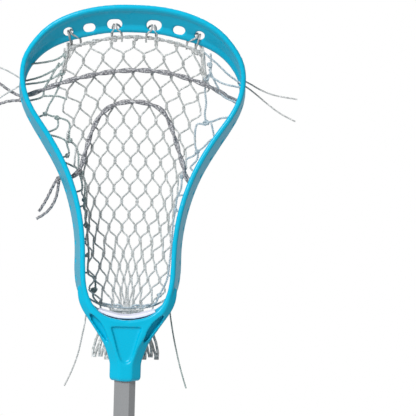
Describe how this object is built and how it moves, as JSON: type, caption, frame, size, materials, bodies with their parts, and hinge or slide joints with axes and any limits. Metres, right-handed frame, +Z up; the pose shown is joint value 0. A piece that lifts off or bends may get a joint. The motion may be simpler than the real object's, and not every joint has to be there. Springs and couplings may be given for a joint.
{
  "type": "lacrosse stick",
  "caption": "Women's field lacrosse stick: moulded head with a strung mesh pocket on an octagonal alloy shaft with a rubber butt cap.",
  "frame": {"origin": "centre of the butt cap's end face, where the lower hand holds the stick", "axes": "+Z up the shaft to the scoop, +X to the right of the playing face, -Y out of the playing face, so the pocket hangs towards +Y"},
  "size_m": [0.3076, 0.07, 1.092],
  "materials": {
    "head_plastic": "moulded nylon, satin gloss, cyan",
    "shaft_alloy": "satin grey coating with a printed cyan zigzag",
    "cap_rubber": "matte grey rubber",
    "screw_steel": "plated steel",
    "pad_foam": "closed-cell foam",
    "pocket_mesh": "knitted white polyester mesh",
    "white_string": "waxed white string",
    "side_string": "waxed grey-green string",
    "grey_lace": "twisted mottled grey lace"
  },
  "bodies": {
    "stick": {"head_frame": "head_plastic", "ball_stop_pad": "pad_foam", "shaft_tube": "shaft_alloy", "mesh_pocket": "pocket_mesh", "mesh_fringe": "pocket_mesh", "top_string": "white_string", "bottom_string": "white_string", "left_sidewall_string": "side_string", "right_sidewall_string": "side_string", "upper_shooting_string": "grey_lace", "lower_shooting_string": "grey_lace", "upper_shooting_knot": "grey_lace", "lower_shooting_knot": "grey_lace", "left_top_knot": "white_string", "right_top_knot": "white_string", "bottom_left_knot": "side_string", "bottom_right_knot": "side_string", "left_top_tail_1": "white_string", "left_top_tail_2": "white_string", "right_top_tail_1": "white_string", "right_top_tail_2": "white_string", "upper_shooting_tail_1": "grey_lace", "upper_shooting_tail_2": "grey_lace", "lower_shooting_tail_1": "grey_lace", "lower_shooting_tail_2": "grey_lace", "bottom_left_tail": "side_string", "bottom_right_tail": "side_string"},
    "butt_cap": {"butt_cap": "cap_rubber"},
    "head_screw": {"head_screw": "screw_steel"}
  },
  "joints": [
    {"name": "butt_cap_pull", "type": "slide", "parent": "stick", "child": "butt_cap", "axis": [0, 0, -1], "range_m": [0, 0.045]},
    {"name": "head_screw_draw", "type": "slide", "parent": "stick", "child": "head_screw", "axis": [0, 1, 0], "range_m": [0, 0.007]}
  ]
}
